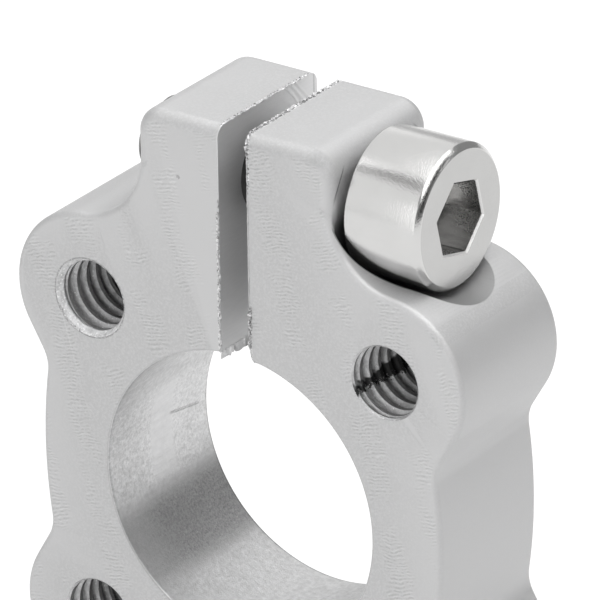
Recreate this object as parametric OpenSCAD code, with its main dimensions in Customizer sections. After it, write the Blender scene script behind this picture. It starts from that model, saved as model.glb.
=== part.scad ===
// Clamp shaft collar with four tapped flange holes, millimetres, bore along Y, slot up +Z, screw head at +X.
// The origin is the middle of the bore.

/* [Collar] */
// bore diameter
bore_d = 14; // [12:0.5:14.5]
// thickness along the shaft
body_t = 7.5; // [7.2:0.1:10]
// saw-cut slot width
slot_w = 1.5; // [1:0.1:2]
// small chamfer at both bore mouths
bore_chamfer = 0.15; // [0.1:0.05:0.3]
// chamfer on the outline's front and back edges
edge_break = 0.3; // [0.15:0.05:0.4]

/* [Lobes] */
// circle through the four tapped holes
bolt_circle_d = 22; // [21.5:0.1:23]
// lobe radius round each tapped hole
lobe_r = 4; // [3.6:0.1:4.2]
// slope of a lobe's flank from the upright
flank_angle = 30; // [24:1:34]
// distance from the axis to the middle of a waist
waist_x = 10.6; // [10.2:0.1:10.8]
// radius of the waist's shallow bulge
waist_r = 25; // [18:1:40]
// fillet between flank and waist
waist_fillet = 1.7; // [1:0.1:2]

/* [Tapped holes] */
// hole diameter at the thread's crests
tap_d = 3.3; // [3.1:0.05:3.5]
// countersink diameter at the face
tap_mouth_d = 3.6; // [3.55:0.05:4.2]

/* [Clamp ears] */
// width across both ears
ear_w = 10.2; // [9.6:0.1:10.8]
// height of the ears above the axis
ear_top = 17.6; // [17.2:0.1:18.6]
// radius of the ears' outer top corners
ear_corner = 1.2; // [0.8:0.1:1.6]
// fillet between ear and lobe
ear_fillet = 3.2; // [2.9:0.1:3.5]

/* [Clamp screw] */
// distance of the screw's axis below the top of the ears
screw_drop = 3.2; // [3:0.1:3.6]
// thread's outer diameter
thread_d = 4; // [3.5:0.5:4]
// length under the head
screw_len = 12; // [10:1:14]
// head diameter
head_d = 6.6; // [6.4:0.05:7]
// head height
head_h = 3.8; // [3.6:0.1:4.4]
// chamfer at the head's outer rim
head_chamfer = 0.25; // [0.15:0.05:0.5]
// chamfer under the head
head_back_chamfer = 0.1; // [0.05:0.05:0.25]
// socket width across flats
socket_af = 3; // [2.5:0.5:3]
// socket depth
socket_depth = 2.1; // [1.6:0.1:2.4]
// turn of the socket about the screw
socket_turn = 15; // [0:1:60]
// chamfer at the screw's tip
tip_chamfer = 0.5; // [0.3:0.05:0.6]

/* [Fits] */
// gap left between head and ear
seat_gap = 0.3; // [0.1:0.05:0.4]
// radial clearance in the threaded ear
thread_clear = 0.05; // [0.02:0.01:0.1]
// radial clearance in the plain ear
through_clear = 0.25; // [0.1:0.05:0.4]
// radial clearance of the pocket round the head
pocket_clear = 0.27; // [0.1:0.01:0.4]

/* [Hidden] */
$fn = 96;
half_t = body_t / 2;
half_slot = slot_w / 2;
half_ear = ear_w / 2;
screw_z = ear_top - screw_drop;
hole_at = bolt_circle_d / 2 * sin(45);
// curves cross by this little instead of just touching
cross = 0.005;
over = 0.2;

// flank of a lobe: outward normal, downward run and start on the lobe
flank_n = [cos(flank_angle), -sin(flank_angle)];
flank_d = [-sin(flank_angle), -cos(flank_angle)];
flank_p = [hole_at, hole_at] + (lobe_r - cross) * flank_n;
waist_c = waist_x - waist_r;

// centre of the waist fillet, the end of the flank and the end of the waist arc
fillet_base = flank_p + (waist_fillet - cross) * flank_n - [waist_c, 0];
fillet_b = fillet_base * flank_d;
fillet_q = fillet_base * fillet_base - pow(waist_r + waist_fillet - cross, 2);
fillet_k = -fillet_b - sqrt(fillet_b * fillet_b - fillet_q);
fillet_c = fillet_base + fillet_k * flank_d + [waist_c, 0];
flank_end = flank_p + fillet_k * flank_d;
flank_len = fillet_k;
waist_turn = atan2(fillet_c[1], fillet_c[0] - waist_c);

// centre of the fillet between ear and lobe
shoulder_x = half_ear + ear_fillet - cross;
shoulder_z = hole_at + sqrt(pow(ear_fillet + lobe_r - cross, 2) - pow(shoulder_x - hole_at, 2));
shoulder_turn = atan2(shoulder_z - hole_at, shoulder_x - hole_at);

head_seat = half_ear + seat_gap;
pocket_r = head_d / 2 + pocket_clear;

module slab() {
    linear_extrude(height = body_t, center = true)
        children();
}

module post(at, r) {
    translate(at)
        cylinder(r = r, h = body_t, center = true);
}

// one waist side of the blank, drawn on the right, with the two flanks that lead into it
module side_web() {
    slab()
        polygon([
            [0, 0],
            [hole_at, hole_at],
            flank_p,
            flank_end,
            fillet_c,
            [waist_c + waist_r * cos(waist_turn), waist_r * sin(waist_turn)],
            [waist_c + waist_r * cos(waist_turn), -waist_r * sin(waist_turn)],
            [fillet_c[0], -fillet_c[1]],
            [flank_end[0], -flank_end[1]],
            [flank_p[0], -flank_p[1]],
            [hole_at, -hole_at]
        ]);
    intersection() {
        translate([waist_c, 0, 0])
            cylinder(r = waist_r, h = body_t, center = true, $fn = 360);
        translate([bore_d / 2 + 1, -waist_r * sin(waist_turn), -half_t])
            cube([waist_x, 2 * waist_r * sin(waist_turn), body_t]);
    }
}

module side_fillets() {
    for (s = [-1, 1])
        translate([fillet_c[0], s * fillet_c[1], 0])
            cylinder(r = waist_fillet, h = body_t + 2, center = true);
}

// both ears before the slot, with rounded outer top corners
module ear_block() {
    corner_x = half_ear - ear_corner + cross;
    corner_z = ear_top - ear_corner + cross;
    difference() {
        translate([-half_ear, 0, -half_t])
            cube([ear_w, ear_top, body_t]);
        for (s = [0, 1])
            mirror([s, 0, 0])
                difference() {
                    translate([corner_x, corner_z, -half_t - 1])
                        cube([ear_corner + 1, ear_corner + 1, body_t + 2]);
                    translate([corner_x, corner_z, 0])
                        cylinder(r = ear_corner, h = body_t + 4, center = true);
                }
    }
}

// material under the fillet between an ear and its lobe
module shoulder() {
    slab()
        polygon([
            [half_ear - 1, hole_at - 1],
            [half_ear - 1, shoulder_z],
            [shoulder_x, shoulder_z],
            [hole_at, hole_at]
        ]);
}

// the collar before its holes and chamfers
module blank() {
    difference() {
        union() {
            ear_block();
            for (s = [0, 1])
                mirror([s, 0, 0])
                    shoulder();
            for (a = [0, -90, 180])
                rotate(a)
                    side_web();
            for (x = [-1, 1], y = [-1, 1])
                post([x * hole_at, y * hole_at], lobe_r);
        }
        for (a = [0, -90, 180])
            rotate(a)
                side_fillets();
        for (s = [-1, 1])
            translate([s * shoulder_x, shoulder_z, 0])
                cylinder(r = ear_fillet, h = body_t + 2, center = true);
    }
}

// chamfer cutter along a straight edge, with the material on its left
module straight_cut(from, angle, len) {
    translate([from[0], from[1], half_t])
        rotate([0, 0, angle])
            rotate([90, 0, 90])
                linear_extrude(height = len)
                    polygon([[-over, -edge_break - over], [edge_break + over, over], [-over, over]]);
}

// chamfer cutter round an outer arc
module outer_cut(at, r, from, turn) {
    translate([at[0], at[1], half_t])
        rotate([0, 0, from])
            rotate_extrude(angle = turn)
                polygon([[r + over, -edge_break - over], [r + over, over], [r - edge_break - over, over]]);
}

// chamfer cutter round an inner arc
module inner_cut(at, r, from, turn) {
    translate([at[0], at[1], half_t])
        rotate([0, 0, from])
            rotate_extrude(angle = turn)
                polygon([[r - over, -edge_break - over], [r + edge_break + over, over], [r - over, over]]);
}

// chamfer of one waist side on the front face, upper and lower half alike
module side_edge() {
    outer_cut([waist_c, 0], waist_r, -waist_turn, 2 * waist_turn);
    for (s = [0, 1])
        mirror([0, s, 0]) {
            straight_cut(flank_end, 90 - flank_angle, flank_len + 0.4);
            inner_cut(fillet_c, waist_fillet, 178 - flank_angle, flank_angle + waist_turn + 4);
        }
}

// chamfer of the whole outline on the front face
module outline_edge() {
    for (a = [0, -90, 180])
        rotate(a)
            side_edge();
    straight_cut([half_ear, ear_top], 180, ear_w);
    for (s = [0, 1])
        mirror([s, 0, 0]) {
            outer_cut([half_ear - ear_corner + cross, ear_top - ear_corner + cross], ear_corner, 0, 90);
            straight_cut([half_ear, shoulder_z], 90, ear_top - shoulder_z);
            inner_cut([shoulder_x, shoulder_z], ear_fillet, 176, shoulder_turn + 8);
            outer_cut([hole_at, hole_at], lobe_r, -flank_angle, flank_angle + shoulder_turn);
            outer_cut([hole_at, -hole_at], lobe_r, -90 - flank_angle, 90 + 2 * flank_angle);
        }
}

// countersunk hole of a thread, centred on the collar's thickness
module tapped_hole() {
    cylinder(d = tap_d, h = body_t + 2, center = true);
    for (s = [0, 1])
        mirror([0, 0, s])
            translate([0, 0, half_t - (tap_mouth_d - tap_d) / 2])
                cylinder(d1 = tap_d, d2 = tap_mouth_d + 2, h = (tap_mouth_d - tap_d) / 2 + 1);
}

module shaft_bore() {
    cylinder(d = bore_d, h = body_t + 2, center = true, $fn = 180);
    for (s = [0, 1])
        mirror([0, 0, s])
            translate([0, 0, half_t - bore_chamfer])
                cylinder(d1 = bore_d, d2 = bore_d + 2 * bore_chamfer + 2, h = bore_chamfer + 1, $fn = 180);
}

// clearance hole in the right ear, tapped hole out through the left ear's fillet, pocket round the head
module screw_way() {
    translate([0, screw_z, 0])
        rotate([0, 90, 0]) {
            cylinder(r = thread_d / 2 + through_clear, h = half_ear + 2, $fn = 64);
            translate([0, 0, -half_ear - ear_fillet])
                cylinder(r = thread_d / 2 + thread_clear, h = half_ear + ear_fillet + 1, $fn = 64);
            translate([0, 0, half_ear + 0.02])
                cylinder(r = pocket_r, h = hole_at + lobe_r);
        }
}

// the part lies flat while it is built: x across the ears, y up the slot, z along the shaft
module collar_body() {
    color("silver")
        rotate([90, 0, 0])
            difference() {
                blank();
                for (s = [0, 1])
                    mirror([0, 0, s])
                        outline_edge();
                shaft_bore();
                translate([-half_slot, bore_d / 4, -half_t - 1])
                    cube([slot_w, ear_top, body_t + 2]);
                for (x = [-1, 1], y = [-1, 1])
                    translate([x * hole_at, y * hole_at, 0])
                        tapped_hole();
                screw_way();
            }
}

// socket head cap screw along +X, head at +X
module clamp_screw() {
    color("gainsboro")
        translate([head_seat, 0, screw_z])
            rotate([0, 90, 0])
                difference() {
                    union() {
                        translate([0, 0, -screw_len + tip_chamfer])
                            cylinder(d = thread_d, h = screw_len - tip_chamfer + 1, $fn = 64);
                        translate([0, 0, -screw_len])
                            cylinder(d1 = thread_d - 2 * tip_chamfer, d2 = thread_d, h = tip_chamfer, $fn = 64);
                        cylinder(d1 = head_d - 2 * head_back_chamfer, d2 = head_d, h = head_back_chamfer);
                        translate([0, 0, head_back_chamfer])
                            cylinder(d = head_d, h = head_h - head_back_chamfer - head_chamfer);
                        translate([0, 0, head_h - head_chamfer])
                            cylinder(d1 = head_d, d2 = head_d - 2 * head_chamfer, h = head_chamfer);
                    }
                    translate([0, 0, head_h - socket_depth])
                        rotate([0, 0, socket_turn])
                            cylinder(d = socket_af / cos(30), h = socket_depth + 1, $fn = 6);
                    translate([0, 0, head_h - socket_depth - socket_af * 0.25])
                        cylinder(d1 = 0.2, d2 = socket_af * 0.96, h = socket_af * 0.25 + 0.01, $fn = 48);
                    translate([0, 0, head_h - 0.12])
                        cylinder(d1 = socket_af * 1.04, d2 = socket_af * 1.04 + 1.12, h = 0.56, $fn = 48);
                }
}

collar_body();
clamp_screw();
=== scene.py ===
# Clamp shaft collar. Pieces are modelled in millimetres and brought to metres as each one is finished.
import math
import bpy
from mathutils import Matrix, Vector


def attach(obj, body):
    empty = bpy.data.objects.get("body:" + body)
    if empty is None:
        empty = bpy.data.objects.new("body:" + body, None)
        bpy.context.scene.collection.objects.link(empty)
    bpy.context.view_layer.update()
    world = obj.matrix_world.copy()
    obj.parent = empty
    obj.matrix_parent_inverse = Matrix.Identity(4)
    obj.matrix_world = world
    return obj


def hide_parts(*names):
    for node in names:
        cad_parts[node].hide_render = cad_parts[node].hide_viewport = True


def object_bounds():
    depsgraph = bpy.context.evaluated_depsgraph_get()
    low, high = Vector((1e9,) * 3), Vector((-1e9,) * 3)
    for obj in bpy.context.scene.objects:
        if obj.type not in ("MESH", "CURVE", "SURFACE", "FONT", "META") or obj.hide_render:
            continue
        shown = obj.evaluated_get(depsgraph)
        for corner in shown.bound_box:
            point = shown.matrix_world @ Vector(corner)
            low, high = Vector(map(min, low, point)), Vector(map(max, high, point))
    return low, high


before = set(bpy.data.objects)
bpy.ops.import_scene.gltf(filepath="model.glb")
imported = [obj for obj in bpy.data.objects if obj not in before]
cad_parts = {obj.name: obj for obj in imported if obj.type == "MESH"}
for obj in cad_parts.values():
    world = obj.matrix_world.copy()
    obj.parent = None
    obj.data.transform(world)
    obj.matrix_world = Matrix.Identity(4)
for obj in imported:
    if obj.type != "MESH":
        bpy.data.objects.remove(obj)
cadBox = [list(corner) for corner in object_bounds()]

collar = {
    "boreRadius": 7.0,
    "halfThickness": 3.75,
    "halfSlot": 0.75,
    "holeAt": 22 / 2 * math.sin(math.radians(45)),
    "lobeRadius": 4.0,
    "flankAngle": 30.0,
    "waistAt": 10.6,
    "waistRadius": 25.0,
    "waistFillet": 1.7,
    "halfEars": 5.1,
    "earTop": 17.6,
    "earCorner": 1.2,
    "earFillet": 3.2,
    "screwHeight": 14.4,
    "pocketRadius": 3.57,
    "passageRadius": 2.25,    # right ear, where the screw passes freely
    "tappedRadius": 2.05,     # left ear
    "edgeRound": 0.3,
    "earRound": 0.62,         # the ears' top edges are worn rounder
    "slotEdge": 0.05,
    "slotFoot": {"right": 0.24, "left": 0.07},    # rounding where the slot opens into the bore
    "boreEdge": 0.12,
}
flangeThread = {"outer": 2.0, "root": 1.6, "core": 1.65, "pitch": 0.7, "steps": 44}
backMouth = {"radius": 1.72, "depth": 0.1}
# mouth radius and depth of the tap's tapered lead-in on the front, and the turn at which the thread starts
flangeHoles = {
    "upperLeft": {"side": (-1, 1), "mouth": 1.84, "taper": 0.38, "turn": 40},
    "upperRight": {"side": (1, 1), "mouth": 1.74, "taper": 0.12, "turn": 0},
    "lowerLeft": {"side": (-1, -1), "mouth": 1.73, "taper": 0.12, "turn": 150},
    "lowerRight": {"side": (1, -1), "mouth": 1.74, "taper": 0.12, "turn": 250},
}


def holeCentre(name):
    side = flangeHoles[name]["side"]
    return (side[0] * collar["holeAt"], side[1] * collar["holeAt"])


def deselectAll():
    if bpy.context.object is not None and bpy.context.object.mode == "EDIT":
        bpy.ops.object.mode_set(mode="OBJECT")
    bpy.ops.object.select_all(action="DESELECT")


def activate(piece):
    deselectAll()
    piece.select_set(True)
    bpy.context.view_layer.objects.active = piece


def nameActive(name):
    piece = bpy.context.object
    piece.name = name
    piece.data.name = name
    return piece


def applyPlace(piece):
    activate(piece)
    bpy.ops.object.transform_apply(location=True, rotation=True, scale=True)


def applyModifier(piece, kind, **settings):
    activate(piece)
    modifier = piece.modifiers.new(kind.capitalize(), kind)
    for key, value in settings.items():
        setattr(modifier, key, value)
    bpy.ops.object.modifier_apply(modifier=modifier.name)


def combine(piece, tool, operation="DIFFERENCE"):
    applyModifier(piece, "BOOLEAN", operation=operation, object=tool, solver="EXACT")
    bpy.data.objects.remove(tool)


def editSelection(piece, kind, test):
    # selects vertices or edges by what test says of them, and leaves the piece in edit mode
    activate(piece)
    bpy.ops.object.mode_set(mode="EDIT")
    bpy.ops.mesh.select_mode(type=kind)
    bpy.ops.mesh.select_all(action="DESELECT")
    bpy.ops.object.mode_set(mode="OBJECT")
    mesh = piece.data
    for element in [*mesh.polygons, *mesh.edges, *mesh.vertices]:
        element.select = False
    points = [vertex.co.copy() for vertex in mesh.vertices]
    if kind == "EDGE":
        for edge in mesh.edges:
            edge.select = test(points[edge.vertices[0]], points[edge.vertices[1]])
    else:
        for vertex in mesh.vertices:
            vertex.select = test(points[vertex.index])
    bpy.ops.object.mode_set(mode="EDIT")


def tidyMesh(piece, gap):
    activate(piece)
    bpy.ops.object.mode_set(mode="EDIT")
    bpy.ops.mesh.select_mode(type="VERT")
    bpy.ops.mesh.select_all(action="SELECT")
    bpy.ops.mesh.remove_doubles(threshold=gap)
    bpy.ops.mesh.normals_make_consistent(inside=False)
    bpy.ops.object.mode_set(mode="OBJECT")


# a pen that draws a chain of edges: one vertex, drawn on with extrude and spin
def penDown(name, at):
    deselectAll()
    bpy.ops.mesh.primitive_plane_add(size=1)
    piece = nameActive(name)
    bpy.ops.object.mode_set(mode="EDIT")
    bpy.ops.mesh.select_mode(type="VERT")
    bpy.ops.mesh.select_all(action="SELECT")
    bpy.ops.mesh.merge(type="CENTER")
    bpy.ops.transform.translate(value=at)
    return piece


def penLine(step):
    bpy.ops.mesh.extrude_region_move(TRANSFORM_OT_translate={"value": step})


def penArc(centre, degrees, steps):
    # positive turns counter-clockwise as seen from the front
    sense = (0, 1, 0) if degrees > 0 else (0, -1, 0)
    bpy.ops.mesh.spin(steps=steps, angle=math.radians(abs(degrees)), center=centre, axis=sense)


def around(centre, radius, degrees):
    turn = math.radians(degrees)
    return (centre[0] + radius * math.cos(turn), centre[1] + radius * math.sin(turn))


def angleTo(centre, point):
    return math.degrees(math.atan2(point[1] - centre[1], point[0] - centre[0]))


def waistSide():
    # tangent points and centres of the right side, from its own sizes
    slope = math.radians(collar["flankAngle"])
    outward = Vector((math.cos(slope), -math.sin(slope)))
    downward = Vector((-math.sin(slope), -math.cos(slope)))
    lobe = Vector((collar["holeAt"], collar["holeAt"]))
    start = lobe + collar["lobeRadius"] * outward
    middle = Vector((collar["waistAt"] - collar["waistRadius"], 0))
    base = start + collar["waistFillet"] * outward - middle
    along = base.dot(downward)
    reach = collar["waistRadius"] + collar["waistFillet"]
    run = -along - math.sqrt(along ** 2 - base.length_squared + reach ** 2)
    fillet = start + collar["waistFillet"] * outward + run * downward
    return {"start": start, "end": start + run * downward, "fillet": fillet, "middle": middle,
            "turn": angleTo(middle, fillet)}


def drawOutline():
    front = -collar["halfThickness"]
    side = waistSide()
    slope = collar["flankAngle"]
    shoulderX = collar["halfEars"] + collar["earFillet"]
    reach = collar["earFillet"] + collar["lobeRadius"]
    shoulderZ = collar["holeAt"] + math.sqrt(reach ** 2 - (shoulderX - collar["holeAt"]) ** 2)
    shoulderTurn = math.degrees(math.atan2(shoulderZ - collar["holeAt"], shoulderX - collar["holeAt"]))
    slotFoot = math.sqrt(collar["boreRadius"] ** 2 - collar["halfSlot"] ** 2)
    corner = (collar["halfEars"] - collar["earCorner"], collar["earTop"] - collar["earCorner"])
    piece = penDown("collarMilled", (collar["halfSlot"], front, slotFoot))
    place = [collar["halfSlot"], slotFoot]

    def lineTo(x, z):
        penLine((x - place[0], 0, z - place[1]))
        place[:] = x, z

    def arcRound(centre, degrees, steps):
        turn = angleTo(centre, place)
        radius = math.hypot(place[0] - centre[0], place[1] - centre[1])
        penArc((centre[0], front, centre[1]), degrees, steps)
        place[:] = around(centre, radius, turn + degrees)

    lineTo(collar["halfSlot"], collar["earTop"])
    lineTo(corner[0], collar["earTop"])
    arcRound(corner, -90, 10)
    lineTo(collar["halfEars"], shoulderZ)
    arcRound((shoulderX, shoulderZ), shoulderTurn, 26)
    lobe = collar["holeAt"]
    arcRound((lobe, lobe), -shoulderTurn - slope, 44)
    # three like sides: right, under and left, each the one before turned a quarter
    for quarter in (0, -90, -180):
        turn = math.radians(quarter)
        cosine, sine = math.cos(turn), math.sin(turn)

        def turned(point):
            return (point[0] * cosine - point[1] * sine, point[0] * sine + point[1] * cosine)

        lineTo(*turned(side["end"]))
        arcRound(turned(side["fillet"]), slope + side["turn"], 10)
        arcRound(turned(side["middle"]), -2 * side["turn"], 14)
        arcRound(turned((side["fillet"][0], -side["fillet"][1])), slope + side["turn"], 10)
        lineTo(*turned((side["start"][0], -side["start"][1])))
        if quarter > -180:
            arcRound(turned((lobe, -lobe)), -90 - 2 * slope, 44)
    arcRound((-lobe, lobe), -slope - shoulderTurn, 44)
    arcRound((-shoulderX, shoulderZ), shoulderTurn, 26)
    lineTo(-collar["halfEars"], corner[1])
    arcRound((-corner[0], corner[1]), -90, 10)
    lineTo(-collar["halfSlot"], collar["earTop"])
    lineTo(-collar["halfSlot"], slotFoot)
    slotTurn = math.degrees(math.asin(collar["halfSlot"] / collar["boreRadius"]))
    arcRound((0, 0), 360 - 2 * slotTurn, 200)
    bpy.ops.mesh.select_all(action="SELECT")
    bpy.ops.mesh.remove_doubles(threshold=0.002)
    bpy.ops.mesh.edge_face_add()
    bpy.ops.mesh.extrude_region_move(TRANSFORM_OT_translate={"value": (0, 2 * collar["halfThickness"], 0)})
    bpy.ops.mesh.select_all(action="SELECT")
    bpy.ops.mesh.normals_make_consistent(inside=False)
    bpy.ops.object.mode_set(mode="OBJECT")
    return piece


def onFaces(a, b):
    limit = collar["halfThickness"] - 0.001
    return a.y * b.y > 0 and min(abs(a.y), abs(b.y)) > limit


def inBore(point):
    return math.hypot(point.x, point.z) < collar["boreRadius"] + 0.3


def onSlot(point):
    return abs(point.x) < collar["halfSlot"] + 0.01 and point.z > 0


def outerEdge(a, b):
    inner = (inBore(a) or onSlot(a)) and (inBore(b) or onSlot(b))
    return onFaces(a, b) and not inner


def boreEdge(a, b):
    return onFaces(a, b) and inBore(a) and inBore(b)


def slotEdge(a, b):
    # the slot's upright edges on both faces and its two top edges
    upright = onFaces(a, b) and onSlot(a) and onSlot(b) and not (inBore(a) and inBore(b))
    top = min(a.z, b.z) > collar["earTop"] - 0.01 and onSlot(a) and onSlot(b) and abs(a.x - b.x) < 0.001
    return upright or top


def bevelEdges(piece, test, width, segments, profile=0.5):
    editSelection(piece, "EDGE", test)
    bpy.ops.mesh.bevel(offset=width, segments=segments, profile=profile, affect="EDGES", clamp_overlap=False)
    bpy.ops.object.mode_set(mode="OBJECT")


def roundOutline(piece):
    # one bevel modifier round both faces; edge weights make it wider towards the top of the ears
    weights = piece.data.attributes.new("bevel_weight_edge", "FLOAT", "EDGE")
    points = [vertex.co.copy() for vertex in piece.data.vertices]
    for edge in piece.data.edges:
        a, b = (points[index] for index in edge.vertices)
        if outerEdge(a, b):
            height = min(1, max(0, ((a.z + b.z) / 2 - 12.6) / 3.0))
            blend = height * height * (3 - 2 * height)
            width = collar["edgeRound"] + (collar["earRound"] - collar["edgeRound"]) * blend
            weights.data[edge.index].value = width / collar["earRound"]
    applyModifier(piece, "BEVEL", width=collar["earRound"], segments=6, limit_method="WEIGHT",
                  use_clamp_overlap=False, offset_type="OFFSET")


def addCylinder(name, radius, low, high, sides=64, farRadius=None):
    # along Z from low to high; with farRadius it widens or narrows to that at the top
    deselectAll()
    place = {"depth": high - low, "vertices": sides, "location": (0, 0, (low + high) / 2)}
    if farRadius is None:
        bpy.ops.mesh.primitive_cylinder_add(radius=radius, **place)
    else:
        bpy.ops.mesh.primitive_cone_add(radius1=radius, radius2=farRadius, **place)
    piece = nameActive(name)
    applyPlace(piece)
    return piece


def addThread(name, sizes, low, high):
    # one pitch of the thread's profile, swept up the axis and cut square at both ends
    pitch = sizes["pitch"]
    rise = (sizes["outer"] - sizes["root"]) * math.tan(math.radians(30))
    crest = pitch / 8
    foot = pitch - 2 * rise - crest
    start = low - 2 * pitch
    piece = penDown(name, (sizes["root"], 0, start))
    penLine((sizes["outer"] - sizes["root"], 0, rise))
    penLine((0, 0, crest))
    penLine((sizes["root"] - sizes["outer"], 0, rise))
    penLine((0, 0, foot))
    bpy.ops.object.mode_set(mode="OBJECT")
    steps = sizes.get("steps", 48)
    applyModifier(piece, "SCREW", axis="Z", screw_offset=pitch, steps=steps, render_steps=steps,
                  iterations=math.ceil((high - low) / pitch) + 4, use_merge_vertices=False)
    tidyMesh(piece, 0.002)
    bpy.ops.object.mode_set(mode="EDIT")
    for height, keepAbove in ((low, True), (high, False)):
        bpy.ops.mesh.select_all(action="SELECT")
        bpy.ops.mesh.bisect(plane_co=(0, 0, height), plane_no=(0, 0, 1), use_fill=True,
                            clear_inner=keepAbove, clear_outer=not keepAbove, threshold=0.0001)
    bpy.ops.mesh.select_all(action="SELECT")
    bpy.ops.mesh.normals_make_consistent(inside=False)
    bpy.ops.object.mode_set(mode="OBJECT")
    return piece


def layAlong(piece, axis, at, turn=0):
    # turns a piece that was made along Z to lie along X or Y, and moves it
    piece.rotation_euler = (0, 0, math.radians(turn))
    applyPlace(piece)
    if axis == "Y":
        piece.rotation_euler = (math.radians(90), 0, 0)
    elif axis == "X":
        piece.rotation_euler = (0, math.radians(90), 0)
    piece.location = at
    applyPlace(piece)
    return piece


def finishPiece(piece, body, node, sharpAngle=32):
    # metres, smooth where it is round, and with its place in the mesh
    piece.scale = (0.001, 0.001, 0.001)
    applyPlace(piece)
    bpy.ops.object.shade_smooth_by_angle(angle=math.radians(sharpAngle))
    applyModifier(piece, "WEIGHTED_NORMAL", mode="FACE_AREA", weight=70, keep_sharp=True)
    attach(piece, body)
    if node:
        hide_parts(node)


def addBurr(name, path, thickness, ragged, seed, spacing=0.07):
    # a ragged thread of metal that follows an edge: chain, tube, shaken points
    piece = penDown(name, path[0])
    for start, end in zip(path, path[1:]):
        step = Vector(end) - Vector(start)
        count = max(1, round(step.length / spacing))
        for stretch in range(count):
            penLine(step / count)
    bpy.ops.object.mode_set(mode="OBJECT")
    bpy.ops.object.convert(target="CURVE")
    wire = bpy.context.object.data
    wire.bevel_depth = thickness
    wire.bevel_resolution = 1
    wire.use_fill_caps = True
    bpy.ops.object.convert(target="MESH")
    bpy.ops.object.mode_set(mode="EDIT")
    bpy.ops.mesh.select_all(action="SELECT")
    bpy.ops.transform.vertex_random(offset=ragged, uniform=1.0, seed=seed)
    bpy.ops.mesh.normals_make_consistent(inside=False)
    bpy.ops.object.mode_set(mode="OBJECT")
    return nameActive(name)


def addFlap(name, low, high, ragged, seed):
    # a thin lip with a torn lower edge, long along the bore
    deselectAll()
    middle = (Vector(low) + Vector(high)) / 2
    bpy.ops.mesh.primitive_cube_add(size=1, location=middle, scale=Vector(high) - Vector(low))
    piece = nameActive(name)
    applyPlace(piece)
    editSelection(piece, "EDGE", lambda a, b: abs(a.y - b.y) > 1)
    bpy.ops.mesh.subdivide(number_cuts=46)
    bpy.ops.object.mode_set(mode="OBJECT")
    editSelection(piece, "VERT", lambda point: point.z < low[2] + 0.01)
    bpy.ops.transform.vertex_random(offset=ragged, uniform=1.0, seed=seed)
    bpy.ops.object.mode_set(mode="OBJECT")
    return piece


# burrs that the slot saw left: path, wire radius and how far its points are shaken
edge = collar["halfSlot"]
front = -collar["halfThickness"]
top = collar["earTop"]
burrs = {
    "rightEarTop": {"thickness": 0.052, "ragged": 0.075,
                    "path": [(edge, 3.25, top - 0.03), (edge, -3.15, top), (edge, -3.55, top - 0.13),
                             (edge, -3.75, top - 0.5), (edge, front, top - 0.9)]},
    "rightEarFront": {"thickness": 0.03, "ragged": 0.014,
                      "path": [(edge + 0.03, front, top - 0.9), (edge + 0.03, front, 9.6)]},
    "rightEarFoot": {"thickness": 0.045, "ragged": 0.08,
                     "path": [(edge + 0.05, front, 9.5), (edge + 0.05, front, 7.6)]},
    "leftEarFront": {"thickness": 0.022, "ragged": 0.045,
                     "path": [(-edge - 0.02, front, 14.2), (-edge - 0.03, front, 7.0)]},
    "leftEarTop": {"thickness": 0.018, "ragged": 0.035,
                   "path": [(-edge, -2.9, top), (-edge, 3.2, top)]},
}
# metal that the tap pushed up at the rim of the upper left hole, degrees as seen from the front
tapBurr = {"hole": "upperLeft", "start": 202, "end": 256, "step": 6, "thickness": 0.018, "ragged": 0.045,
           "seed": 11}
# the torn lip at the foot of the slot's left wall
slotFootLip = {"low": (-0.85, -3.6, 6.66), "high": (-edge + 0.004, 3.5, 7.02), "ragged": 0.12, "seed": 5}


def addBurrs(piece):
    pieces = [addBurr(name, burr["path"], burr["thickness"], burr["ragged"], seed)
              for seed, (name, burr) in enumerate(burrs.items())]
    turns = range(tapBurr["start"], tapBurr["end"], tapBurr["step"])
    radius = flangeHoles[tapBurr["hole"]]["mouth"] - 0.02
    ring = [around(holeCentre(tapBurr["hole"]), radius, turn) for turn in turns]
    rim = [(x, front, z) for x, z in ring]
    pieces.append(addBurr("tapBurr", rim, tapBurr["thickness"], tapBurr["ragged"], tapBurr["seed"]))
    lip = slotFootLip
    pieces.append(addFlap("slotFootLip", lip["low"], lip["high"], lip["ragged"], lip["seed"]))
    deselectAll()
    for burr in pieces:
        burr.select_set(True)
    piece.select_set(True)
    bpy.context.view_layer.objects.active = piece
    bpy.ops.object.join()


def slotFootEdge(a, b):
    # where the slot's walls meet the bore
    return abs(a.y - b.y) > 1 and onSlot(a) and inBore(a)


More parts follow.
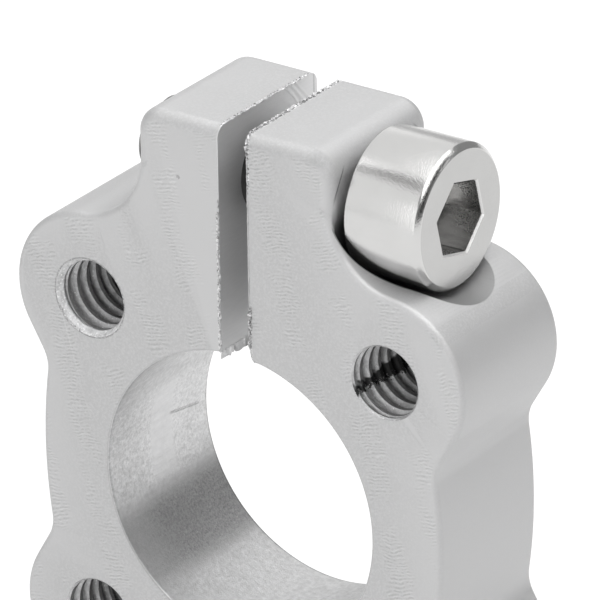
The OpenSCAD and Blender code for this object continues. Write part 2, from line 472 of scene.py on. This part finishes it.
def makeCollar():
    piece = drawOutline()
    foot = collar["slotFoot"]
    bevelEdges(piece, lambda a, b: slotFootEdge(a, b) and a.x > 0, foot["right"], 4)
    bevelEdges(piece, lambda a, b: slotFootEdge(a, b) and a.x < 0, foot["left"], 2)
    roundOutline(piece)
    bevelEdges(piece, boreEdge, collar["boreEdge"], 2)
    bevelEdges(piece, slotEdge, collar["slotEdge"], 1)
    print("collar outline:", len(piece.data.polygons), "faces")
    face = collar["halfThickness"]
    for name, hole in flangeHoles.items():
        x, z = holeCentre(name)
        at = (x, 0, z)
        combine(piece, layAlong(addCylinder(name, flangeThread["core"], -face - 1, face + 1), "Y", at))
        slope = (hole["mouth"] - flangeThread["root"]) / hole["taper"]
        lead = addCylinder(name + "Lead", hole["mouth"] - 0.6, face - 0.6 / slope, face + 0.5, 80,
                           hole["mouth"] + 0.5 * slope)
        combine(piece, layAlong(lead, "Y", at))
        back = addCylinder(name + "Back", backMouth["radius"], -face - 1, -face + backMouth["depth"])
        combine(piece, layAlong(back, "Y", at))
        thread = addThread(name + "Thread", flangeThread, -face + 0.3, face - hole["taper"] - 0.05)
        combine(piece, layAlong(thread, "Y", at, hole["turn"]))
    print("flange holes tapped:", len(piece.data.polygons), "faces")
    at = (0, 0, collar["screwHeight"])
    ears = collar["halfEars"]
    pocket = addCylinder("pocket", collar["pocketRadius"], ears + 0.02, ears + 8, 128)
    combine(piece, layAlong(pocket, "X", at))
    passage = addCylinder("passage", collar["passageRadius"], 0, ears + 2)
    combine(piece, layAlong(passage, "X", at))
    tapped = addCylinder("tapped", collar["tappedRadius"], -ears - 4, 0)
    combine(piece, layAlong(tapped, "X", at))
    addBurrs(piece)
    finishPiece(piece, "collar", "collar_body")
    print("collar done:", len(piece.data.polygons), "faces")
    return piece


# the cap screw, made along Z with its head up and laid along X at the end
screw = {
    "headRadius": 3.3,
    "headHeight": 3.8,
    "seatAt": 5.4,
    "length": 12.0,
    "outer": 1.97,
    "root": 1.62,
    "pitch": 0.7,
    "rimChamfer": 0.24,
    "rimRound": 0.05,
    "backChamfer": 0.1,
    "socketFlats": 3.1,
    "socketDepth": 2.1,
    "socketTurn": -15.0,
    "socketRound": 0.06,
    "socketMouth": 0.09,
    "drillDepth": 0.75,
    "tipChamfer": 0.5,
}


def makeScrew():
    head = addCylinder("capScrew", screw["headRadius"], 0, screw["headHeight"], 144)
    top = screw["headHeight"] - 0.001
    bevelEdges(head, lambda a, b: min(a.z, b.z) > top, screw["rimChamfer"], 1)
    bevelEdges(head, lambda a, b: max(a.z, b.z) < 0.001, screw["backChamfer"], 2)
    rim = screw["headHeight"] - screw["rimChamfer"] - 0.001
    bevelEdges(head, lambda a, b: min(a.z, b.z) > rim and abs(a.z - b.z) < 0.001, screw["rimRound"], 2)
    # thread and its pointed end
    shank = addThread("shank", screw, -screw["length"], 0.3)
    limit = addCylinder("tip", screw["outer"] + 0.2, -screw["length"], 0.4, 96)
    bevelEdges(limit, lambda a, b: max(a.z, b.z) < 0.001 - screw["length"], screw["tipChamfer"] + 0.2, 1)
    combine(shank, limit, "INTERSECT")
    combine(head, shank, "UNION")
    # hexagon socket: prism and the drill point under it
    corner = screw["socketFlats"] / 2 / math.cos(math.radians(30))
    floor = screw["headHeight"] - screw["socketDepth"]
    prism = addCylinder("socket", corner, floor, screw["headHeight"] + 1, 6)
    bevelEdges(prism, lambda a, b: abs(a.z - b.z) > 0.5, screw["socketRound"], 2)
    prism.rotation_euler = (0, 0, math.radians(screw["socketTurn"]))
    applyPlace(prism)
    combine(head, prism)
    drillRadius = screw["socketFlats"] / 2 - screw["socketRound"]
    drill = addCylinder("drill", 0.1, floor - screw["drillDepth"], floor + 0.01, 48, drillRadius)
    combine(head, drill)
    # the mouth keeps the hexagon's outline, with a narrow worn bevel
    mouthLow = screw["headHeight"] - screw["socketMouth"]
    mouth = addCylinder("mouth", corner, mouthLow, mouthLow + 1, 6, corner + 1.15)
    mouth.rotation_euler = (0, 0, math.radians(screw["socketTurn"]))
    applyPlace(mouth)
    combine(head, mouth)
    layAlong(head, "X", (screw["seatAt"], 0, collar["screwHeight"]))
    finishPiece(head, "screw", "clamp_screw")
    print("screw done:", len(head.data.polygons), "faces")
    return head


class Wire:
    # a socket of a shader tree; arithmetic on it adds Math nodes
    def __init__(self, tree, socket):
        self.tree = tree
        self.socket = socket

    def node(self, kind, settings=None, values=None, output=0):
        made = self.tree.nodes.new(kind)
        for key, value in (settings or {}).items():
            setattr(made, key, value)
        pairs = values.items() if isinstance(values, dict) else enumerate(values or [])
        for key, value in pairs:
            if isinstance(value, Wire):
                self.tree.links.new(value.socket, made.inputs[key])
            else:
                made.inputs[key].default_value = value
        return Wire(self.tree, made.outputs[output])

    def maths(self, operation, *values):
        return self.node("ShaderNodeMath", {"operation": operation}, values)

    def __add__(self, other):
        return self.maths("ADD", self, other)

    def __radd__(self, other):
        return self.maths("ADD", other, self)

    def __sub__(self, other):
        return self.maths("SUBTRACT", self, other)

    def __rsub__(self, other):
        return self.maths("SUBTRACT", other, self)

    def __mul__(self, other):
        return self.maths("MULTIPLY", self, other)

    def __rmul__(self, other):
        return self.maths("MULTIPLY", other, self)

    def __pow__(self, other):
        return self.maths("POWER", self, other)

    def __abs__(self):
        return self.maths("ABSOLUTE", self)

    def rise(self, low, high):
        # 0 below low, 1 above high, smooth between; where low is the larger, it falls from 1 to 0
        if low > high:
            return 1 - self.rise(high, low)
        return self.node("ShaderNodeMapRange", {"interpolation_type": "SMOOTHSTEP"},
                         {"Value": self, "From Min": low, "From Max": high, "To Min": 0.0, "To Max": 1.0})

    def wave(self):
        return self.maths("SINE", self)


class Finish:
    # a Principled material with its object coordinates in millimetres
    def __init__(self, name, metallic):
        self.material = bpy.data.materials.new(name)
        self.material.use_nodes = True
        tree = self.material.node_tree
        tree.nodes.clear()
        output = tree.nodes.new("ShaderNodeOutputMaterial")
        self.shader = tree.nodes.new("ShaderNodeBsdfPrincipled")
        self.shader.inputs["Metallic"].default_value = metallic
        tree.links.new(self.shader.outputs[0], output.inputs["Surface"])
        metres = Wire(tree, None).node("ShaderNodeTexCoord", output="Object")
        self.place = metres.node("ShaderNodeVectorMath", {"operation": "SCALE"}, {0: metres, "Scale": 1000.0})
        normal = metres.node("ShaderNodeNewGeometry", output="Normal")
        self.edges = metres.node("ShaderNodeNewGeometry", output="Pointiness")
        self.x, self.y, self.z = self.parts(self.place)
        self.facingX, self.facingY, self.facingZ = self.parts(normal)

    def parts(self, vector):
        return [vector.node("ShaderNodeSeparateXYZ", None, {0: vector}, axis) for axis in "XYZ"]

    def noise(self, scale, detail, roughness=0.5, stretch=None):
        at = self.place
        if stretch:
            at = at.node("ShaderNodeVectorMath", {"operation": "MULTIPLY"}, {0: at, 1: stretch})
        return at.node("ShaderNodeTexNoise", None,
                       {"Vector": at, "Scale": scale, "Detail": detail, "Roughness": roughness})

    def maths(self, operation, *values):
        return self.x.maths(operation, *values)

    def grey(self, *parts):
        return self.x.node("ShaderNodeCombineColor", None, list(parts))

    def distanceFrom(self, x, z):
        return ((self.x - x) ** 2.0 + (self.z - z) ** 2.0) ** 0.5

    def feed(self, socket, wire):
        self.material.node_tree.links.new(wire.socket, self.shader.inputs[socket])

    def bump(self, height, distance):
        made = height.node("ShaderNodeBump", None, {"Strength": 1.0, "Distance": distance, "Height": height})
        self.feed("Normal", made)


def grey(tone):
    return (tone, tone, tone, 1)


# what milling leaves on the faces, and handling on the edges; strengths are shares of the tone
milling = {
    "tone": 0.577,
    "roughness": 0.58,
    "metallic": 0.88,
    "bump": 0.000014,
    "strokeTilt": 14.0,
    "strokePitch": 0.17,
    "columnPitch": 2.6,
    "strokes": 0.13,
    # edgeWear darkens the outer edges as painted shade against their highlight; cornerShade does so at one
    # corner
    "edgeWear": 0.05,
    "cornerShade": 0.03,    # right ear, front top corner
    "rims": 0.45,
}
pit = {"at": (-2.86, 14.78), "radius": 0.05, "dark": 0.25}
# the tapped holes: painted shade that darkens them with depth, cut unevenly, and painted light on the taper
# of the widest mouth
tapping = {
    "dark": 0.08,
    "depthShade": 0.5,
    "cutting": 1.0,
    "glints": 0.5,
    "taperTone": 0.38,
    "taperSpecks": 1.2,
}
# a dark trail along one hole's thread: place round the hole, half width of the trail and how it widens with
# depth
darkTrail = {"hole": "upperRight", "turn": 207.5, "halfWidth": 0.17, "deeper": 0.2, "dark": 0.93}
# the slot's walls; at exitAt (along the bore, height) the saw ran out and left a lighter patch with lines
sawing = {
    "tone": 0.10,
    "topTone": 0.2,
    "marks": 0.12,
    "exitAt": (1.35, 17.6),
    "exitSlope": (0.76, 0.65),
    "exitTone": 0.06,
    "lines": 0.11,
    "lineTurn": 22.0,    # radians per millimetre
    "farEdge": 0.3,
    "tornBright": 0.45,
    "tornDark": 0.9,
}
# the bore; turns are radians round its axis
boring = {
    "tone": 0.03,
    "mottle": 0.62,
    "toolMarks": 0.25,
    "shade": 0.40,
    "shadeFrom": -2.75,
    "shadeTo": -2.24,
    "besideShade": 0.12,
}
# a shaft rubbed a stripe of the bore's left side smooth; round it the wall keeps its grain
burnish = {"near": -0.6, "far": 1.0, "low": -2.2, "high": 2.35, "tone": 0.05, "grain": 0.5}
boreScratch = {"turn": 3.072, "from": 1.0, "to": 3.25, "slope": 0.0233, "dark": 0.16}
# painted shade under the screw's head and on its pocket's wall, as shares of the tone taken away
seatShade = {"underHead": 0.85, "pocketWall": 0.5}


def cutterStrokes(finish, faces, mottle):
    # strokes across the faces, in columns that lean a little
    lean = math.radians(milling["strokeTilt"])
    along = finish.x * math.cos(lean) + finish.z * math.sin(lean)
    across = finish.z * math.cos(lean) - finish.x * math.sin(lean)
    drift = finish.noise(0.6, 3.0, 0.6)
    strokes = (across * (2 * math.pi / milling["strokePitch"]) + drift * 26.0).wave()
    columns = (along * (2 * math.pi / milling["columnPitch"]) + drift * 3.0).wave().rise(-0.5, 0.5)
    patches = finish.noise(0.5, 3.0).rise(0.42, 0.56)
    return strokes * columns * patches * faces * mottle.rise(0.38, 0.6)


def tappedHoles(finish, faces):
    # masks of the holes' walls, and of the taper at the widest mouth, where light is painted
    root, outer = flangeThread["root"], flangeThread["outer"]
    holes = finish.x * 0.0
    for name in flangeHoles:
        away = finish.distanceFrom(*holeCentre(name))
        holes = holes.maths("MAXIMUM", holes, away.rise(outer + 0.2, outer + 0.05) * (1 - faces))
    away = finish.distanceFrom(*holeCentre(tapBurr["hole"]))
    taperEnd = flangeHoles[tapBurr["hole"]]["taper"] - collar["halfThickness"]
    taper = away.rise(root - 0.02, root + 0.02) * away.rise(outer + 0.02, outer - 0.04) * (1 - faces)
    return holes, taper * finish.y.rise(taperEnd + 0.03, taperEnd - 0.03)


def darkTrailInHole(finish, holes, mottle, speck):
    x, z = holeCentre(darkTrail["hole"])
    turn = math.radians(darkTrail["turn"])
    aside = finish.x - x
    above = finish.z - z
    outward = aside * math.cos(turn) + above * math.sin(turn)
    beside = abs(above * math.cos(turn) - aside * math.sin(turn) + (mottle - 0.5) * 1.1)
    beside = beside + (speck - 0.5) * 0.6 - finish.y.rise(-3.2, 0.0) * darkTrail["deeper"]
    trail = beside.rise(darkTrail["halfWidth"] + 0.12, darkTrail["halfWidth"] - 0.05)
    return trail * outward.rise(0.9, 1.3) * holes


def tornMetal(finish, slotWall):
    # beside the slot: all along its top edges, and in stretches down the front
    top = collar["earTop"]
    right = finish.z.rise(14.6, 15.4) * 0.6 + finish.z.rise(9.9, 9.3) * 0.5 + 0.12
    left = finish.z.rise(13.8, 13.2) * 0.7
    atFront = finish.x.rise(-0.1, 0.1) * right + finish.x.rise(0.1, -0.1) * left
    atFront = finish.y.rise(-3.6, -3.7) * atFront
    beside = abs(abs(finish.x) - collar["halfSlot"] - 0.03).rise(0.15, 0.09)
    torn = beside * (1 - slotWall) * finish.z.rise(6.8, 7.2)
    return torn * finish.maths("MAXIMUM", finish.z.rise(top - 0.1, top - 0.02), atFront)


def paintedSeatShade(finish):
    # painted shade under the screw's head and on the wall of its pocket
    ears, radius = collar["halfEars"], collar["pocketRadius"]
    fromScrew = (finish.y ** 2.0 + (finish.z - collar["screwHeight"]) ** 2.0) ** 0.5
    underHead = fromScrew.rise(radius + 0.04, radius - 0.07) * finish.x.rise(ears - 0.2, ears - 0.05)
    underHead = underHead * finish.z.rise(15.4, 13.9)
    wall = abs(fromScrew - radius).rise(0.06, 0.03) * finish.x.rise(ears - 0.1, ears)
    wall = wall * finish.x.rise(9.0, 7.6)
    return finish.maths("MAXIMUM", underHead * seatShade["underHead"], wall * seatShade["pocketWall"])


def sawnWalls(finish, slotWall, cloud):
    # what the saw left on the slot's walls: tone to add, and the lines where it ran out of the left wall
    fromExit = (finish.y - sawing["exitAt"][0]) * sawing["exitSlope"][0]
    fromExit = fromExit + (finish.z - sawing["exitAt"][1]) * sawing["exitSlope"][1] + (cloud - 0.5) * 0.3
    patch = fromExit.rise(-0.03, 0.08) * slotWall
    lines = (fromExit * sawing["lineTurn"]).wave() * fromExit.rise(-0.1, 0.0)
    lines = lines * fromExit.rise(0.75, 0.45) * slotWall
    farEdge = finish.y.rise(3.40, 3.46) * finish.y.rise(3.58, 3.52) * slotWall * finish.z.rise(15.6, 16.2)
    marks = finish.noise(1.0, 3.0, 0.6, stretch=(1.0, 1.2, 9.0))
    walls = (marks - 0.5) * sawing["marks"] + sawing["tone"] + finish.z.rise(14.0, 17.4) * sawing["topTone"]
    tone = slotWall * walls + patch * sawing["exitTone"] + lines * sawing["lines"]
    return tone - farEdge * sawing["farEdge"], lines


def boreStripes(finish, boreWall):
    # the band in shade, the light beside it, the burnished stripe and the wall round that stripe
    boreTurn = finish.maths("ARCTAN2", finish.z, finish.x)
    shade = boreTurn.rise(boring["shadeFrom"] - 0.09, boring["shadeFrom"] + 0.09) * boreWall
    shade = shade * boreTurn.rise(boring["shadeTo"] + 0.1, boring["shadeTo"] - 0.1)
    shade = shade * (0.55 + finish.y.rise(-3.6, -0.4) * 0.45)
    beside = boreTurn.rise(2.72, 2.86) + boreTurn.rise(-2.80, -2.88)
    beside = beside * boreWall * finish.y.rise(-2.6, -0.6)
    grain = finish.z.rise(burnish["low"] - 0.3, burnish["low"] + 0.3) * finish.x.rise(0.0, -1.0) * boreWall
    grain = grain * finish.z.rise(burnish["high"] + 0.35, burnish["high"] - 0.35)
    rubbed = finish.y.rise(burnish["near"] - 0.15, burnish["near"] + 0.15) * grain
    rubbed = rubbed * finish.y.rise(burnish["far"] + 0.15, burnish["far"] - 0.15)
    return shade, beside, rubbed, grain * (1 - rubbed)


def scratchLine(finish, boreWall):
    boreTurn = finish.maths("ARCTAN2", finish.z, finish.x)
    start, stop = boreScratch["from"], boreScratch["to"]
    fromLine = boreTurn - boreScratch["turn"] - (finish.y - start) * boreScratch["slope"]
    scratch = abs(fromLine * collar["boreRadius"]).rise(0.08, 0.02) * boreWall
    return scratch * finish.y.rise(start - 0.2, start) * finish.y.rise(stop, stop - 0.3)


def darkRims(finish, fromBore, faces, boreWall, speck):
    # thin dark lines round the bore's two ends, and round the mouth where the tap's burr stands
    bore = collar["boreRadius"]
    rims = fromBore.rise(bore + 0.12, bore + 0.06) * faces * 0.6 + boreWall * finish.y.rise(3.58, 3.66)
    mouth = flangeHoles[tapBurr["hole"]]["mouth"]
    ring = finish.distanceFrom(*holeCentre(tapBurr["hole"])).rise(mouth + 0.09, mouth + 0.04)
    return rims + ring * faces * finish.y.rise(0.0, -1.0) * speck.rise(0.35, 0.5) * 0.8


def milledAluminium():
    finish = Finish("milledAluminium", milling["metallic"])
    grit = finish.noise(16.0, 3.0, 0.6)
    fine = finish.noise(38.0, 2.0, 0.6)
    cloud = finish.noise(0.9, 3.0)
    mottle = finish.noise(4.5, 4.0, 0.65)
    speck = finish.noise(9.0, 3.0, 0.7)
    cutting = finish.noise(1.0, 3.0, 0.7, stretch=(2.4, 7.0, 2.4))
    toolMarks = finish.noise(1.0, 3.0, 0.6, stretch=(5.0, 0.6, 5.0))

    # where things are
    face, bore, halfSlot = collar["halfThickness"], collar["boreRadius"], collar["halfSlot"]
    fromBore = finish.distanceFrom(0.0, 0.0)
    boreWall = fromBore.rise(bore + 0.12, bore + 0.02)
    faces = abs(finish.y).rise(face - 0.05, face - 0.005) * abs(finish.facingY).rise(0.9, 0.99)
    slotWall = abs(finish.x).rise(halfSlot + 0.05, halfSlot + 0.01) * finish.z.rise(6.5, 6.8)
    holes, taper = tappedHoles(finish, faces)
    torn = tornMetal(finish, slotWall)
    shade, besideShade, rubbed, grain = boreStripes(finish, boreWall)

    # what is on them
    chatter = cutterStrokes(finish, faces, mottle)
    sawn, sawLines = sawnWalls(finish, slotWall, cloud)
    holeTrail = darkTrailInHole(finish, holes, mottle, speck)
    scratch = scratchLine(finish, boreWall)
    shadeUnderHead = paintedSeatShade(finish)
    rims = darkRims(finish, fromBore, faces, boreWall, speck)
    pitted = finish.distanceFrom(*pit["at"]).rise(pit["radius"] + 0.05, pit["radius"])
    pitted = pitted * faces * finish.y.rise(0.0, -1.0)
    bright = speck.rise(0.50, 0.60) * torn
    dark = speck.rise(0.46, 0.38) * torn
    # handling has roughened the outer edges, most at the right ear's front corner; their colour is darkened
    # there as painted shade that damps their highlight
    worn = finish.edges.rise(0.505, 0.54) * speck.rise(0.3, 0.6) * (1 - boreWall) * (1 - slotWall)
    dullShadedCorner = finish.x.rise(3.6, 4.3) * finish.y.rise(-3.1, -3.3) * finish.z.rise(16.8, 17.2)

    tone = 1 + (cloud - 0.5) * 0.05 + (grit - 0.5) * 0.06 + chatter * milling["strokes"]
    tone = tone - worn * milling["edgeWear"] - dullShadedCorner * milling["cornerShade"]
    bored = (mottle - 0.5) * boring["mottle"] * (1 - rubbed * 0.8) + (toolMarks - 0.5) * boring["toolMarks"]
    tone = tone + boreWall * (bored + boring["tone"]) + besideShade * boring["besideShade"]
    tone = tone + grain * (speck - 0.5) * burnish["grain"] + rubbed * burnish["tone"]
    tone = tone * (1 - shade * (boring["shade"] + (speck - 0.5) * 0.7 + (mottle - 0.5) * 0.5))
    tone = tone * (1 - scratch * boreScratch["dark"])
    # painted shade: the holes' walls darken with depth
    deep = tapping["dark"] + finish.y.rise(-3.0, 1.6) * tapping["depthShade"]
    tone = tone * (1 - holes * deep * (1 - taper))
    tone = tone + holes * ((cutting - 0.5) * tapping["cutting"] + speck.rise(0.6, 0.68) * tapping["glints"])
    # painted light on the taper of the widest mouth
    tone = tone + taper * (tapping["taperTone"] + (speck - 0.5) * tapping["taperSpecks"]) + sawn
    tone = tone * (1 - holeTrail * darkTrail["dark"]) * (1 - dark * sawing["tornDark"]) * (1 - shadeUnderHead)
    tone = tone * (1 - pitted * pit["dark"]) * (1 - rims * milling["rims"])
    tone = (tone + bright * sawing["tornBright"]) * milling["tone"]
    finish.feed("Base Color", finish.grey(tone, tone, tone * 1.004))

    rough = milling["roughness"] + (cloud - 0.5) * 0.08 + (grit - 0.5) * 0.06 + worn * 0.10 + dullShadedCorner * 0.2
    rough = rough - holes * 0.16 + taper * 0.3 - boreWall * (0.14 + (mottle - 0.5) * 0.25) - bright * 0.3
    finish.feed("Roughness", rough)
    height = grit * 0.5 + fine * 0.25 + chatter * 0.5 + boreWall * (mottle * 0.9 + toolMarks * 0.7)
    height = height + sawLines * 0.6 + torn * speck * 2.0
    height = height + holes * cutting * 1.2 - scratch * 2.0 - pitted * 3.0
    finish.bump(height, milling["bump"])
    return finish.material


plating = {
    "tone": 0.62,
    "roughness": 0.15,
    "bump": 0.000006,
    "shankShadeTone": 0.30,
    "socketShadeTone": 0.88,
    "faceShadeTone": 0.83,
    "edgeWear": 0.12,
    "rimHighlight": 0.3,
}


def platedSteel():
    finish = Finish("platedSteel", 1.0)
    cloud = finish.noise(0.8, 3.0)
    speck = finish.noise(12.0, 3.0, 0.6)
    drawn = finish.noise(1.0, 2.0, 0.6, stretch=(0.8, 6.0, 6.0))
    faceAt = screw["seatAt"] + screw["headHeight"]
    fromAxis = (finish.y ** 2.0 + (finish.z - collar["screwHeight"]) ** 2.0) ** 0.5
    # painted shade darkens the socket's inside, which also carries drawn streaks
    socket = fromAxis.rise(1.92, 1.80) * finish.x.rise(faceAt - 0.03, faceAt - 0.12)
    # painted shade: the shank, seen only inside the slot, is darkened
    shank = finish.x.rise(screw["seatAt"] - 0.02, screw["seatAt"] - 0.1)
    # painted shade: the head's flat face is darkened
    face = finish.facingX.rise(0.97, 0.99) * finish.x.rise(faceAt - 0.02, faceAt - 0.01)
    worn = finish.edges.rise(0.52, 0.60) * speck.rise(0.45, 0.6)
    # painted highlight on the bevel of the socket's mouth, where it faces up
    rim = fromAxis.rise(2.0, 1.85) * finish.x.rise(faceAt - 0.1, faceAt - 0.07)
    rim = rim * (1 - finish.facingX.rise(0.9, 0.97)) * finish.facingZ.rise(0.15, 0.3)
    rim = rim * (speck.rise(0.3, 0.4) * 0.4 + 0.6)

    tone = plating["tone"] + (cloud - 0.5) * 0.06 + (speck - 0.5) * 0.05 - worn * plating["edgeWear"]
    tone = tone * (1 - face * (1 - plating["faceShadeTone"]))
    tone = tone * (1 + socket * (plating["socketShadeTone"] - 1 + (drawn - 0.5) * 0.7))
    tone = (tone + rim * plating["rimHighlight"]) * (1 - shank * (1 - plating["shankShadeTone"]))
    finish.feed("Base Color", finish.grey(tone, tone * 0.995, tone * 0.985))
    rough = plating["roughness"] + (cloud - 0.5) * 0.08 + (speck - 0.5) * 0.05 + worn * 0.1
    finish.feed("Roughness", rough + socket * 0.05 + rim * 0.3 + shank * 0.2)
    finish.bump(speck * 1.3 + cloud * 0.5 + drawn * socket * 0.6, plating["bump"])
    return finish.material


def dress(piece, material):
    piece.data.materials.clear()
    piece.data.materials.append(material)


collarPiece = makeCollar()
screwPiece = makeScrew()
dress(collarPiece, milledAluminium())
dress(screwPiece, platedSteel())
# the hidden construction solids take the same finishes
dress(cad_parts["collar_body"], collarPiece.data.materials[0])
dress(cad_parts["clamp_screw"], screwPiece.data.materials[0])

# camera, from the photograph's angle
view = {
    "azimuth": 35.168,
    "elevation": 25.207,
    "roll": -0.88,
    "distance": 0.312124,
    "target": (0.0008, 0, 0.008409),
    "lens": 431.8,
}


def addCamera():
    a, e, r = (math.radians(view[key]) for key in ("azimuth", "elevation", "roll"))
    back = Vector((math.sin(a) * math.cos(e), -math.cos(a) * math.cos(e), math.sin(e)))
    right = Vector((math.cos(a), math.sin(a), 0))
    up = back.cross(right)
    across = right * math.cos(r) + up * math.sin(r)
    upward = up * math.cos(r) - right * math.sin(r)
    deselectAll()
    bpy.ops.object.camera_add(location=Vector(view["target"]) + back * view["distance"])
    camera = nameActive("camera")
    camera.rotation_euler = Matrix((across, upward, back)).transposed().to_euler()
    camera.data.sensor_width = 36
    camera.data.lens = view["lens"]
    camera.data.clip_start = 0.01
    camera.data.clip_end = 5
    bpy.context.scene.camera = camera


lights = {
    "canopy": {"from": (-0.188, 0.105, 0.292), "size": 0.46, "power": 0.46},
    "top": {"from": (0.13, 0.0, 0.32), "size": 0.50, "power": 1.95},
    "left": {"from": (-0.1853, -0.2686, 0.1597), "size": 0.325, "power": 0.24},
    "front": {"from": (0.04, -0.34, 0.06), "size": 0.28, "power": 0.24},
    "back": {"from": (-0.172, 0.27, 0.0825), "size": 0.18, "power": 0.03},
    "spark": {"from": (-0.156, -0.073, 0.2486), "size": 0.035, "power": 0.0065},
}
# black strips that the chamfer of the screw's rim reflects: directions of both ends, seen from cardsFrom
cards = {
    "rimCardLow": {"ends": ((0.844, -0.53, 0.05), (0.824, -0.211, 0.525)), "width": 0.075},
    "rimCardHigh": {"ends": ((0.824, -0.211, 0.525), (0.55, 0.54, 0.635)), "width": 0.065},
}
cardsFrom = (0.008, 0, 0.014)
cardsAway = 0.25
lampsAim = (0, 0, 0.003)


def addLights():
    for name, lamp in lights.items():
        deselectAll()
        turn = (Vector(lampsAim) - Vector(lamp["from"])).to_track_quat("-Z", "Y").to_euler()
        bpy.ops.object.light_add(type="AREA", location=lamp["from"], rotation=turn)
        light = nameActive(name + "Light")
        light.data.size = lamp["size"]
        light.data.energy = lamp["power"]


studio = {"floorTone": 0.9, "floorGlow": 1.1, "glowShare": 0.85, "world": 0.33}


def glowingPaper(name):
    # diffuse white paper that the camera and reflections see nearly as a plain white glow
    material = bpy.data.materials.new(name)
    material.use_nodes = True
    tree = material.node_tree
    tree.nodes.clear()
    start = Wire(tree, None)
    output = tree.nodes.new("ShaderNodeOutputMaterial")
    straight = start.node("ShaderNodeLightPath", output="Is Camera Ray")
    for kind in ("Is Glossy Ray", "Is Transmission Ray"):
        straight = straight.maths("MAXIMUM", straight, start.node("ShaderNodeLightPath", output=kind))
    diffuse = start.node("ShaderNodeBsdfDiffuse", None, {"Color": grey(studio["floorTone"])})
    glow = start.node("ShaderNodeEmission", None, {"Color": grey(1.0), "Strength": studio["floorGlow"]})
    mix = start.node("ShaderNodeMixShader", None, [straight * studio["glowShare"], diffuse, glow])
    tree.links.new(mix.socket, output.inputs["Surface"])
    return material


def addCards():
    material = bpy.data.materials.new("blackCard")
    material.use_nodes = True
    material.node_tree.nodes["Principled BSDF"].inputs["Base Color"].default_value = grey(0.01)
    material.node_tree.nodes["Principled BSDF"].inputs["Roughness"].default_value = 1.0
    seenFrom = Vector(cardsFrom)
    for name, card in cards.items():
        start, end = (seenFrom + Vector(direction) * cardsAway for direction in card["ends"])
        along = (end - start).normalized()
        facing = (seenFrom - (start + end) / 2).normalized()
        turn = Matrix((along, facing.cross(along), facing)).transposed()
        deselectAll()
        bpy.ops.mesh.primitive_plane_add(size=1, location=(start + end) / 2, rotation=turn.to_euler())
        board = nameActive(name)
        board.scale = ((end - start).length, card["width"], 1)
        applyPlace(board)
        dress(board, material)


def addFloor():
    # the collar stands on its two lower lobes
    floorHeight = cadBox[0][2]
    deselectAll()
    bpy.ops.mesh.primitive_plane_add(size=4, location=(0, 0, floorHeight))
    floor = nameActive("floor")
    applyPlace(floor)
    dress(floor, glowingPaper("paperSweep"))


def addWorld():
    world = bpy.data.worlds.new("studio")
    bpy.context.scene.world = world
    world.use_nodes = True
    world.node_tree.nodes["Background"].inputs["Color"].default_value = grey(1.0)
    world.node_tree.nodes["Background"].inputs["Strength"].default_value = studio["world"]


addCamera()
addLights()
addCards()
addFloor()
addWorld()
bpy.context.scene.view_settings.view_transform = "Standard"
print("scene set")
